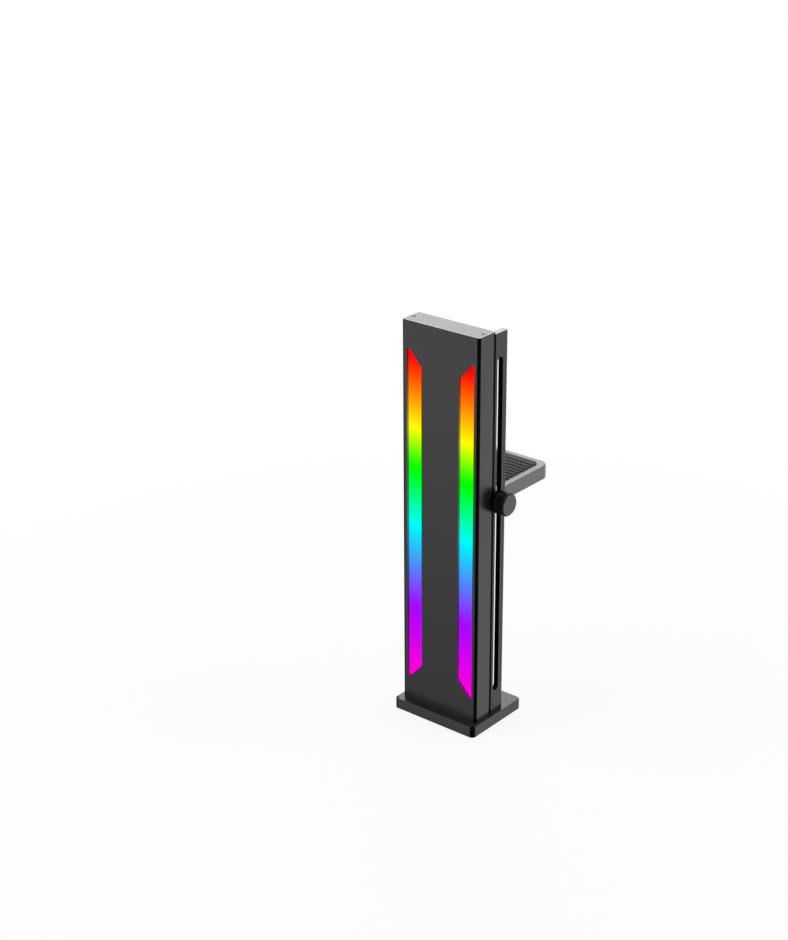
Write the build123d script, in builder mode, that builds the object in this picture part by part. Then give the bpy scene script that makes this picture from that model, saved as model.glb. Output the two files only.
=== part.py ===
from build123d import *
import os

# Graphics card support bracket, in millimetres.
# The origin is the middle of the base's underside, with +Z up. The lit front of the column faces -Y,
# the arm reaches out to +Y, and the slotted flange with its thumb screw is on the +X side.

# Column
column_width = 45.0
column_height = 204.3
column_corner = 1.1
seam_gap = 0.15
seam_round = 0.5
fit_gap = 0.1

# Base
base_width = 49.4
base_depth = 39.3
base_thickness = 5.4
base_corner = 2.2
base_edge = 0.3
front_lip = 4.7
pad_margin = 2.6
pad_thickness = 0.8
magnet_radius = 7.0
magnet_thickness = 2.5
magnet_spacing = 21.0

# Lamp housing and its windows
housing_depth = 12.05
front_wall = 1.4
side_wall = 1.6
window_width = 8.8
window_side_margin = 2.7
window_slant = 9.6
window_top_margin = 11.9
window_bottom_margin = 11.1
window_corner = 1.0
rib_reach = 1.7
rib_light_gap = 1.7
rib_block_depth = 3.0
rib_block_reach = 1.5

# Lamps behind the windows
diffuser_thickness = 1.5
diffuser_overlap = 1.0
diffuser_end_overlap = 3.0
carrier_plate = 1.5
carrier_wall = 1.2
board_thickness = 1.0
led_size = 3.5
led_height = 1.0
led_lens_size = 2.7
led_lens_height = 0.4
led_count = 15

# Cap and its screws
cap_thickness = 1.3
cap_rim = 0.7
cap_gap = 0.08
cap_screw_inset = 2.3
cap_screw_setback = 6.1
cap_screw_head_radius = 1.4
cap_screw_length = 7.0

# Slotted rail
web_thickness = 2.0
flange_thickness = 3.0
flange_depth = 9.45
rail_inner_round = 0.4
slot_width = 4.2
slot_end_margin = 11.8
slot_setback = 5.48
slot_inner_edge = 0.5
rail_screw_inset = 2.3
rail_screw_end_margin = 24.0
rail_screw_rows = 2
rail_screw_head_radius = 1.8
rail_screw_length = 4.6

# Screws of 2 mm, used all over
screw_radius = 0.95
screw_play = 0.05
screw_clearance = 0.15
screw_head_angle = 90
cross_span = 1.8
cross_width = 0.45
cross_depth = 0.5
base_screw_head_radius = 1.9
base_screw_head_height = 1.4
base_screw_length = 10.5
flange_screw_spread = 4.6

# Arm, at the height where the photograph shows it
screw_height = 118.65
arm_thickness = 7.2
arm_length = 50.0
arm_clearance = 0.2
arm_corner = 5.0
arm_front_corner = 0.6
arm_edge = 0.4
arm_pad_front_margin = 12.0
arm_pad_margin = 4.0
arm_pad_thickness = 1.8
arm_pad_sunk = 1.2
arm_pad_corner = 2.5
arm_pad_groove_pitch = 3.0
arm_pad_groove_width = 0.9
arm_pad_groove_depth = 0.5
thread_depth = 12.0
thread_play = 0.05

# Thumb screw and washer
stud_radius = 2.0
stud_run_out = 1.0
stud_chamfer = 0.4
stud_hold = 4.5
knob_radius = 5.7
knob_length = 6.1
knob_edge = 0.8
washer_radius = 3.4
washer_thickness = 0.8
washer_gap = 0.05

# Inlet for the lamp's lead
grommet_height = 4.8
grommet_hole_radius = 2.0
grommet_flange_radius = 2.9
grommet_flange_thickness = 0.9
grommet_bore_radius = 1.3
grommet_edge = 0.45
grommet_offset = 5.0

# Places that follow from the sizes
half_width = column_width / 2
side_inner = half_width - side_wall
column_front = front_lip - base_depth / 2
housing_rear = column_front + housing_depth
web_front = housing_rear - web_thickness
flange_inner = half_width - flange_thickness
flange_front = housing_rear + seam_gap
flange_rear = housing_rear + flange_depth
rail_top = column_height - cap_thickness
rail_height = rail_top - base_thickness
rail_middle = base_thickness + rail_height / 2
slot_length = rail_height - 2 * slot_end_margin
slot_y = flange_rear - slot_setback

housing_height = column_height - base_thickness
housing_middle = base_thickness + housing_height / 2
window_length = housing_height - window_top_margin - window_bottom_margin
window_outer = half_width - window_side_margin
window_inner = window_outer - window_width
window_bottom = base_thickness + window_bottom_margin
window_top = window_bottom + window_length

cap_screw_x = half_width - cap_screw_inset
cap_screw_y = column_front + cap_screw_setback
rib_inner = cap_screw_x - rib_reach
rib_front = column_front + front_wall + diffuser_thickness + rib_light_gap
rail_screw_x = flange_inner - rail_screw_inset
rib_block_inner = rail_screw_x - rib_block_reach
rib_block_front = web_front - rib_block_depth

diffuser_front = column_front + front_wall
diffuser_rear = diffuser_front + diffuser_thickness
diffuser_inner = window_inner - diffuser_overlap
diffuser_outer = side_inner - fit_gap
carrier_rear = web_front - fit_gap
carrier_front = carrier_rear - carrier_plate
carrier_half_width = rib_block_inner - fit_gap
carrier_wall_outer = window_inner - fit_gap
carrier_wall_inner = carrier_wall_outer - carrier_wall
board_inner = carrier_wall_outer + fit_gap
board_outer = carrier_half_width - fit_gap
board_width = board_outer - board_inner
board_middle = (board_inner + board_outer) / 2
led_pitch = window_length / led_count

arm_right = flange_inner - arm_clearance
arm_left = -half_width
arm_width = arm_right - arm_left
arm_middle = (arm_left + arm_right) / 2
arm_front = housing_rear + arm_clearance
arm_rear = arm_front + arm_length
arm_bottom = screw_height - arm_thickness / 2
arm_top = screw_height + arm_thickness / 2
arm_pad_front = arm_front + arm_pad_front_margin
arm_pad_length = arm_rear - arm_pad_margin - arm_pad_front
arm_pad_width = arm_width - 2 * arm_pad_margin
arm_pad_middle = arm_pad_front + arm_pad_length / 2
arm_pad_top = arm_top - arm_pad_sunk + arm_pad_thickness
arm_pad_grooves = int((arm_pad_length - 2 * arm_pad_corner) / arm_pad_groove_pitch)

washer_inner_face = half_width + washer_gap
washer_outer_face = washer_inner_face + washer_thickness
knob_inner_face = washer_outer_face + washer_gap
stud_tip = arm_right - thread_depth + stud_run_out
stud_head = knob_inner_face + stud_hold
grommet_z = base_thickness + grommet_height

# Planes that the pieces are drawn on
front_plane = Plane(origin=(0, column_front, 0), x_dir=(1, 0, 0), z_dir=(0, -1, 0))
back_plane = Plane(origin=(0, housing_rear, 0), x_dir=(-1, 0, 0), z_dir=(0, 1, 0))
side_plane = Plane(origin=(half_width, 0, 0), x_dir=(0, 1, 0), z_dir=(1, 0, 0))
cap_plane = Plane.XY.offset(column_height)
rail_top_plane = Plane.XY.offset(rail_top)
base_top_plane = Plane.XY.offset(base_thickness)
recess_plane = Plane.XY.offset(pad_thickness)

# Screw places: the cap's pair is repeated below, in the base
cap_screw_points = [(-cap_screw_x, cap_screw_y), (cap_screw_x, cap_screw_y)]
flange_screw_x = half_width - flange_thickness / 2
flange_screw_y = (flange_front + flange_rear) / 2
flange_screw_points = [
    (flange_screw_x, flange_screw_y - flange_screw_spread / 2),
    (flange_screw_x, flange_screw_y + flange_screw_spread / 2),
]
base_screw_points = cap_screw_points + flange_screw_points
rail_screw_pitch = (rail_height - 2 * rail_screw_end_margin) / (rail_screw_rows - 1)
screw_hole_radius = screw_radius + screw_play
base_head_bottom = pad_thickness + screw_clearance
base_head_top = base_head_bottom + base_screw_head_height

os.makedirs("parts", exist_ok=True)


def window_outline(side):
    """Draw one window on the front plane: a tall trapezoid with its long side outwards."""
    Polygon(
        (side * window_outer, window_bottom),
        (side * window_outer, window_top),
        (side * window_inner, window_top - window_slant),
        (side * window_inner, window_bottom + window_slant),
        align=None,
    )


def cross_recess():
    """Sink a cross into the screw heads at the current places."""
    for turn in (0, 90):
        Box(
            cross_span,
            cross_width,
            cross_depth,
            rotation=(0, 0, turn),
            align=(Align.CENTER, Align.CENTER, Align.MAX),
            mode=Mode.SUBTRACT,
        )


def countersunk_screw(head_radius, length):
    """Add a flush cross-head screw at each current place, pointing down its own Z axis."""
    head_height = head_radius - screw_radius
    Cone(
        screw_radius,
        head_radius,
        head_height,
        align=(Align.CENTER, Align.CENTER, Align.MAX),
    )
    Cylinder(screw_radius, length, align=(Align.CENTER, Align.CENTER, Align.MAX))
    cross_recess()


# The base plate is a rounded slab, recessed below for its magnets, screws and pad
with BuildPart() as base_plate:
    with BuildSketch():
        RectangleRounded(base_width, base_depth, base_corner)
    extrude(amount=base_thickness)
    chamfer(base_plate.faces().sort_by(Axis.Z)[-1].edges(), base_edge)
    with BuildSketch():
        RectangleRounded(
            base_width - 2 * pad_margin,
            base_depth - 2 * pad_margin,
            base_corner,
        )
    extrude(amount=pad_thickness, mode=Mode.SUBTRACT)
    with BuildSketch(recess_plane):
        with GridLocations(magnet_spacing, magnet_spacing, 2, 1):
            Circle(magnet_radius + fit_gap)
    extrude(amount=magnet_thickness, mode=Mode.SUBTRACT)
    with BuildSketch(recess_plane):
        with Locations(*base_screw_points):
            Circle(base_screw_head_radius + screw_clearance)
    extrude(amount=base_head_top - pad_thickness, mode=Mode.SUBTRACT)
    with BuildSketch():
        with Locations(*base_screw_points):
            Circle(screw_radius + screw_clearance)
    extrude(amount=base_thickness, mode=Mode.SUBTRACT)
base_plate.part.label = "base_plate"
export_step(base_plate.part, "parts/base_plate.step")

# The rubber sheet under the base is flush with its rim
with BuildPart() as base_pad:
    with BuildSketch():
        RectangleRounded(
            base_width - 2 * pad_margin - 2 * fit_gap,
            base_depth - 2 * pad_margin - 2 * fit_gap,
            base_corner,
        )
    extrude(amount=pad_thickness)
base_pad.part.label = "base_pad"
export_step(base_pad.part, "parts/base_pad.step")

with BuildPart() as base_magnets:
    with BuildSketch(recess_plane):
        with GridLocations(magnet_spacing, magnet_spacing, 2, 1):
            Circle(magnet_radius)
    extrude(amount=magnet_thickness)
base_magnets.part.label = "base_magnets"
export_step(base_magnets.part, "parts/base_magnets.step")

# Four screws hold the column from below: two in the housing's ribs, two in the flange
with BuildPart() as base_screws:
    with BuildSketch(Plane.XY.offset(base_head_bottom)):
        with Locations(*base_screw_points):
            Circle(base_screw_head_radius)
    extrude(amount=base_screw_head_height)
    with BuildSketch(Plane.XY.offset(base_head_top)):
        with Locations(*base_screw_points):
            Circle(screw_radius)
    extrude(amount=base_screw_length)
    with BuildSketch(Plane.XY.offset(base_head_bottom)):
        with Locations(*base_screw_points):
            Rectangle(cross_span, cross_width)
            Rectangle(cross_width, cross_span)
    extrude(amount=cross_depth, mode=Mode.SUBTRACT)
base_screws.part.label = "base_screws"
export_step(base_screws.part, "parts/base_screws.step")

# The lamp housing is a channel, open to the back, with a stepped rib down each side
with BuildPart() as lamp_housing:
    with BuildSketch(base_top_plane) as housing_section:
        with Locations((0, column_front)):
            Rectangle(column_width, housing_depth, align=(Align.CENTER, Align.MIN))
        front_corners = housing_section.vertices().group_by(Axis.Y)[0]
        fillet(front_corners, column_corner)
        rear_corners = housing_section.vertices().group_by(Axis.Y)[-1]
        fillet(rear_corners, seam_round)
        with Locations((0, column_front + front_wall)):
            Rectangle(
                2 * side_inner,
                housing_depth - front_wall,
                align=(Align.CENTER, Align.MIN),
                mode=Mode.SUBTRACT,
            )
        for side in (-1, 1):
            with Locations((side * (side_inner + rib_inner) / 2, rib_front)):
                Rectangle(
                    side_inner - rib_inner,
                    web_front - rib_front,
                    align=(Align.CENTER, Align.MIN),
                )
            with Locations((side * (side_inner + rib_block_inner) / 2, rib_block_front)):
                Rectangle(
                    side_inner - rib_block_inner,
                    rib_block_depth,
                    align=(Align.CENTER, Align.MIN),
                )
    extrude(amount=housing_height)
    with BuildSketch(front_plane) as window_holes:
        window_outline(-1)
        window_outline(1)
        fillet(window_holes.vertices(), window_corner)
    extrude(amount=-front_wall, mode=Mode.SUBTRACT)
    with BuildSketch(rail_top_plane) as cap_seat:
        with Locations((0, column_front + cap_rim)):
            Rectangle(
                column_width - 2 * cap_rim,
                housing_depth - cap_rim,
                align=(Align.CENTER, Align.MIN),
            )
        fillet(cap_seat.vertices().group_by(Axis.Y)[0], column_corner - cap_rim)
    extrude(amount=cap_thickness, mode=Mode.SUBTRACT)
    with BuildSketch(rail_top_plane):
        with Locations(*cap_screw_points):
            Circle(screw_hole_radius)
    extrude(amount=-cap_screw_length, mode=Mode.SUBTRACT)
    with BuildSketch(base_top_plane):
        with Locations(*cap_screw_points):
            Circle(screw_hole_radius)
    extrude(amount=base_screw_length, mode=Mode.SUBTRACT)
    with Locations(back_plane.offset(-web_thickness)):
        with Locations((0, rail_middle)):
            with GridLocations(2 * rail_screw_x, rail_screw_pitch, 2, rail_screw_rows):
                Hole(screw_hole_radius, depth=rib_block_depth)
lamp_housing.part.label = "lamp_housing"
export_step(lamp_housing.part, "parts/lamp_housing.step")

# The cap closes the housing and lies on the rail's web
with BuildPart() as top_cap:
    with BuildSketch(rail_top_plane) as cap_outline:
        with Locations((0, column_front + cap_rim + cap_gap)):
            Rectangle(
                column_width - 2 * cap_rim - 2 * cap_gap,
                housing_depth - cap_rim - cap_gap,
                align=(Align.CENTER, Align.MIN),
            )
        fillet(cap_outline.vertices().group_by(Axis.Y)[0], column_corner - cap_rim)
    extrude(amount=cap_thickness)
    with Locations(cap_plane):
        with Locations(*cap_screw_points):
            CounterSinkHole(
                screw_hole_radius,
                cap_screw_head_radius + screw_play,
                counter_sink_angle=screw_head_angle,
            )
top_cap.part.label = "top_cap"
export_step(top_cap.part, "parts/top_cap.step")

with BuildPart(cap_plane) as cap_screws:
    with Locations(*cap_screw_points):
        countersunk_screw(cap_screw_head_radius, cap_screw_length)
cap_screws.part.label = "cap_screws"
export_step(cap_screws.part, "parts/cap_screws.step")

# The rail is one angle: its web closes the housing, its flange stands back and carries the slot
with BuildPart() as slotted_rail:
    with BuildSketch(base_top_plane) as rail_section:
        with BuildLine():
            Polyline(
                (-side_inner + fit_gap, web_front),
                (side_inner - fit_gap, web_front),
                (side_inner - fit_gap, flange_front),
                (half_width, flange_front),
                (half_width, flange_rear),
                (flange_inner, flange_rear),
                (flange_inner, housing_rear),
                (-side_inner + fit_gap, housing_rear),
                close=True,
            )
        make_face()
        outer_corners = rail_section.vertices().group_by(Axis.X)[-1]
        fillet(outer_corners, seam_round)
        rear_inner_corner = rail_section.vertices().group_by(Axis.Y)[-1].sort_by(Axis.X)[0]
        fillet(rear_inner_corner, rail_inner_round)
    extrude(amount=rail_height)
    with BuildSketch(side_plane):
        with Locations((slot_y, rail_middle)):
            SlotOverall(slot_length, slot_width, rotation=90)
    extrude(amount=-flange_thickness, mode=Mode.SUBTRACT)
    inner_face_edges = slotted_rail.edges().filter_by_position(
        Axis.X, flange_inner - slot_inner_edge, flange_inner + slot_inner_edge
    )
    slot_edges = inner_face_edges.filter_by_position(
        Axis.Y, slot_y - slot_width, slot_y + slot_width
    ).filter_by_position(
        Axis.Z, rail_middle - slot_length / 2 - slot_width, rail_middle + slot_length / 2 + slot_width
    )
    chamfer(slot_edges, slot_inner_edge)
    with BuildSketch(base_top_plane):
        with Locations(*flange_screw_points):
            Circle(screw_hole_radius)
    extrude(amount=base_screw_length, mode=Mode.SUBTRACT)
    with Locations(back_plane):
        with Locations((0, rail_middle)):
            with GridLocations(2 * rail_screw_x, rail_screw_pitch, 2, rail_screw_rows):
                CounterSinkHole(
                    screw_hole_radius,
                    rail_screw_head_radius + screw_play,
                    depth=web_thickness,
                    counter_sink_angle=screw_head_angle,
                )
        with Locations((grommet_offset, grommet_z)):
            Hole(grommet_hole_radius + screw_play, depth=web_thickness)
slotted_rail.part.label = "slotted_rail"
export_step(slotted_rail.part, "parts/slotted_rail.step")

with BuildPart(back_plane) as rail_screws:
    with Locations((0, rail_middle)):
        with GridLocations(2 * rail_screw_x, rail_screw_pitch, 2, rail_screw_rows):
            countersunk_screw(rail_screw_head_radius, rail_screw_length)
rail_screws.part.label = "rail_screws"
export_step(rail_screws.part, "parts/rail_screws.step")

# The lead comes in through a rubber grommet, low on the back
with BuildPart(back_plane) as lead_grommet:
    with Locations((grommet_offset, grommet_z)):
        Cylinder(
            grommet_hole_radius,
            web_thickness,
            align=(Align.CENTER, Align.CENTER, Align.MAX),
        )
        Cylinder(
            grommet_flange_radius,
            grommet_flange_thickness,
            align=(Align.CENTER, Align.CENTER, Align.MIN),
        )
        Cylinder(
            grommet_bore_radius,
            2 * (web_thickness + grommet_flange_thickness),
            mode=Mode.SUBTRACT,
        )
    rim_edges = lead_grommet.edges().filter_by(GeomType.CIRCLE).group_by(Axis.Y)[-1]
    chamfer(rim_edges.sort_by(SortBy.RADIUS)[-1], grommet_edge)
lead_grommet.part.label = "lead_grommet"
export_step(lead_grommet.part, "parts/lead_grommet.step")

# The white carrier presses both diffusers against the housing's front wall
with BuildPart() as light_carrier:
    with BuildSketch(base_top_plane) as carrier_section:
        with Locations((0, carrier_front)):
            Rectangle(2 * carrier_half_width, carrier_plate, align=(Align.CENTER, Align.MIN))
        for side in (-1, 1):
            with Locations((side * (carrier_wall_inner + carrier_wall_outer) / 2, diffuser_rear)):
                Rectangle(
                    carrier_wall,
                    carrier_rear - diffuser_rear,
                    align=(Align.CENTER, Align.MIN),
                )
    extrude(amount=rail_height - fit_gap)
    for side in (-1, 1):
        for end_z in (window_bottom - carrier_wall, window_top):
            with BuildSketch(Plane.XY.offset(end_z)):
                with Locations((side * (carrier_wall_outer + carrier_half_width) / 2, diffuser_rear)):
                    Rectangle(
                        carrier_half_width - carrier_wall_outer,
                        carrier_rear - diffuser_rear,
                        align=(Align.CENTER, Align.MIN),
                    )
            extrude(amount=carrier_wall)
    with Locations(back_plane.offset(-web_thickness - fit_gap)):
        with Locations((grommet_offset, grommet_z)):
            Hole(grommet_hole_radius + screw_play, depth=carrier_plate)
light_carrier.part.label = "light_carrier"
export_step(light_carrier.part, "parts/light_carrier.step")

# Each side has a diffuser, a board and a row of lamps
for side, side_name in ((-1, "left"), (1, "right")):
    with BuildPart() as diffuser:
        with BuildSketch(front_plane.offset(-front_wall)):
            with Locations((side * (diffuser_inner + diffuser_outer) / 2, housing_middle)):
                Rectangle(
                    diffuser_outer - diffuser_inner,
                    window_length + 2 * diffuser_end_overlap,
                )
        extrude(amount=-diffuser_thickness)
    diffuser.part.label = side_name + "_diffuser"
    export_step(diffuser.part, "parts/" + side_name + "_diffuser.step")

    with BuildPart() as led_board:
        with BuildSketch(Plane.XY.offset(window_bottom)):
            with Locations((side * board_middle, carrier_front)):
                Rectangle(board_width, board_thickness, align=(Align.CENTER, Align.MAX))
        extrude(amount=window_length)
    led_board.part.label = side_name + "_led_board"
    export_step(led_board.part, "parts/" + side_name + "_led_board.step")

    board_face = front_plane.offset(column_front - carrier_front + board_thickness)
    with BuildPart(board_face) as leds:
        with Locations((side * board_middle, housing_middle)):
            with GridLocations(led_size, led_pitch, 1, led_count):
                Box(
                    led_size,
                    led_size,
                    led_height,
                    align=(Align.CENTER, Align.CENTER, Align.MIN),
                )
        with Locations((side * board_middle, housing_middle, led_height)):
            with GridLocations(led_size, led_pitch, 1, led_count):
                Box(
                    led_lens_size,
                    led_lens_size,
                    led_lens_height,
                    align=(Align.CENTER, Align.CENTER, Align.MIN),
                )
    leds.part.label = side_name + "_leds"
    export_step(leds.part, "parts/" + side_name + "_leds.step")

# The arm is a plate that slides behind the web, with a thread in its right edge for the screw
with BuildPart() as support_arm:
    with BuildSketch(Plane.XY.offset(arm_bottom)) as arm_outline:
        with Locations((arm_middle, arm_front)):
            Rectangle(arm_width, arm_length, align=(Align.CENTER, Align.MIN))
        fillet(arm_outline.vertices().group_by(Axis.Y)[0], arm_front_corner)
        fillet(arm_outline.vertices().group_by(Axis.Y)[-1], arm_corner)
    extrude(amount=arm_thickness)
    flat_faces = support_arm.faces().filter_by(Axis.Z)
    chamfer(flat_faces.edges(), arm_edge)
    with BuildSketch(Plane.XY.offset(arm_top)):
        with Locations((arm_middle, arm_pad_middle)):
            RectangleRounded(
                arm_pad_width + 2 * fit_gap,
                arm_pad_length + 2 * fit_gap,
                arm_pad_corner + fit_gap,
            )
    extrude(amount=-arm_pad_sunk, mode=Mode.SUBTRACT)
    with Locations(Plane(origin=(arm_right, slot_y, screw_height), z_dir=(1, 0, 0))):
        Hole(stud_radius + thread_play, depth=thread_depth)
support_arm.part.label = "support_arm"
export_step(support_arm.part, "parts/support_arm.step")

# The card lies on a ribbed rubber pad, let into the arm
with BuildPart() as arm_pad:
    with BuildSketch(Plane.XY.offset(arm_top - arm_pad_sunk)):
        with Locations((arm_middle, arm_pad_middle)):
            RectangleRounded(arm_pad_width, arm_pad_length, arm_pad_corner)
    extrude(amount=arm_pad_thickness)
    with Locations((arm_middle, arm_pad_middle, arm_pad_top)):
        with GridLocations(arm_pad_width, arm_pad_groove_pitch, 1, arm_pad_grooves):
            Box(
                arm_pad_width,
                arm_pad_groove_width,
                arm_pad_groove_depth,
                align=(Align.CENTER, Align.CENTER, Align.MAX),
                mode=Mode.SUBTRACT,
            )
arm_pad.part.label = "arm_pad"
export_step(arm_pad.part, "parts/arm_pad.step")

# The clamping screw: washer, steel stud and round knob share one axis through the slot
screw_plane = Plane(origin=(0, slot_y, screw_height), x_dir=(0, 1, 0), z_dir=(1, 0, 0))

with BuildPart() as clamp_washer:
    with BuildSketch(screw_plane.offset(washer_inner_face)):
        Circle(washer_radius)
        Circle(stud_radius + fit_gap, mode=Mode.SUBTRACT)
    extrude(amount=washer_thickness)
clamp_washer.part.label = "clamp_washer"
export_step(clamp_washer.part, "parts/clamp_washer.step")

with BuildPart() as thumb_stud:
    with BuildSketch(screw_plane.offset(stud_tip)):
        Circle(stud_radius)
    extrude(amount=stud_head - stud_tip)
    chamfer(thumb_stud.edges().group_by(Axis.X)[0], stud_chamfer)
thumb_stud.part.label = "thumb_stud"
export_step(thumb_stud.part, "parts/thumb_stud.step")

with BuildPart() as thumb_knob:
    with BuildSketch(screw_plane.offset(knob_inner_face)):
        Circle(knob_radius)
    extrude(amount=knob_length)
    chamfer(thumb_knob.edges().group_by(Axis.X)[-1], knob_edge)
    with BuildSketch(screw_plane.offset(knob_inner_face)):
        Circle(stud_radius + screw_play)
    extrude(amount=stud_hold, mode=Mode.SUBTRACT)
thumb_knob.part.label = "thumb_knob"
export_step(thumb_knob.part, "parts/thumb_knob.step")
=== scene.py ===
"""Visual model of a graphics card support bracket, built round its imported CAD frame.

Lengths are in metres. The column's lit front faces -Y, the arm reaches out to +Y, the
slotted flange and its thumb screw are on the +X side, and the underside of the base is
at Z = 0.
"""
from __future__ import annotations

import functools
import logging
import math
from dataclasses import dataclass, field
from enum import Enum
from typing import Any, Callable, Iterable, Sequence

import bmesh
import bpy
from mathutils import Matrix, Vector


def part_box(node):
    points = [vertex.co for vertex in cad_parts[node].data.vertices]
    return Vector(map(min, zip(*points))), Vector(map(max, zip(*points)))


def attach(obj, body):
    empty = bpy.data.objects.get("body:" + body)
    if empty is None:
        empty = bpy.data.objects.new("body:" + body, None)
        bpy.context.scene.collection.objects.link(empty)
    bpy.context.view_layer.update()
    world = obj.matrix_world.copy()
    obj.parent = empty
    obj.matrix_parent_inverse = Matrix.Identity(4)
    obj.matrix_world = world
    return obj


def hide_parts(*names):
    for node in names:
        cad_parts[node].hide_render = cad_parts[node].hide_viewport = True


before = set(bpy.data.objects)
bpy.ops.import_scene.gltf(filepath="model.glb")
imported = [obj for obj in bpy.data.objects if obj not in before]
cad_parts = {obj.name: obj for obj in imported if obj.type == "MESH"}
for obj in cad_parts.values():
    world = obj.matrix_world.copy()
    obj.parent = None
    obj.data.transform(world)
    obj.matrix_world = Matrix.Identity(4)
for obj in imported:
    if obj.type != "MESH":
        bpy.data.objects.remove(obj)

LOG = logging.getLogger("bracket")
MM = 0.001

Colour = tuple[float, float, float]


class Axis(Enum):
    """The three axes of the shared frame."""

    X = 0
    Y = 1
    Z = 2

    @property
    def vector(self) -> Vector:
        """Return the unit vector of this axis."""
        return Vector([1.0 if index == self.value else 0.0 for index in range(3)])


class Body(Enum):
    """The bodies that the remade pieces ride on."""

    COLUMN = "column"
    ARM = "arm"
    THUMB_SCREW = "thumb_screw"


# Shader building


class Signal:
    """A shader socket that takes part in Python expressions."""

    def __init__(self, graph: Graph, socket: bpy.types.NodeSocket | None) -> None:
        """Keep the graph that the socket belongs to."""
        self.graph = graph
        self.socket = socket

    def __add__(self, other: Signal | float) -> Signal:
        """Return self + other."""
        return self.graph.math("ADD", self, other)

    def __radd__(self, other: float) -> Signal:
        """Return other + self."""
        return self.graph.math("ADD", other, self)

    def __sub__(self, other: Signal | float) -> Signal:
        """Return self - other."""
        return self.graph.math("SUBTRACT", self, other)

    def __rsub__(self, other: float) -> Signal:
        """Return other - self."""
        return self.graph.math("SUBTRACT", other, self)

    def __mul__(self, other: Signal | float) -> Signal:
        """Return self * other."""
        return self.graph.math("MULTIPLY", self, other)

    def __rmul__(self, other: float) -> Signal:
        """Return other * self."""
        return self.graph.math("MULTIPLY", other, self)

    def __truediv__(self, other: Signal | float) -> Signal:
        """Return self / other."""
        return self.graph.math("DIVIDE", self, other)

    def __rtruediv__(self, other: float) -> Signal:
        """Return other / self."""
        return self.graph.math("DIVIDE", other, self)

    def __abs__(self) -> Signal:
        """Return the size of self without its sign."""
        return self.graph.math("ABSOLUTE", self)

    def smaller(self, other: Signal | float) -> Signal:
        """Return the smaller of self and other."""
        return self.graph.math("MINIMUM", self, other)

    def larger(self, other: Signal | float) -> Signal:
        """Return the larger of self and other."""
        return self.graph.math("MAXIMUM", self, other)

    def step(self, start: float, end: float) -> Signal:
        """Return a smooth step of self.

        Args:
            start: The value where the step is still 0.
            end: The value where the step has reached 1.

        Returns:
            The stepped signal, from 0 to 1.
        """
        return self.graph.node(
            "ShaderNodeMapRange",
            {"interpolation_type": "SMOOTHSTEP"},
            {"Value": self, "From Min": start, "From Max": end},
        )


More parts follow.
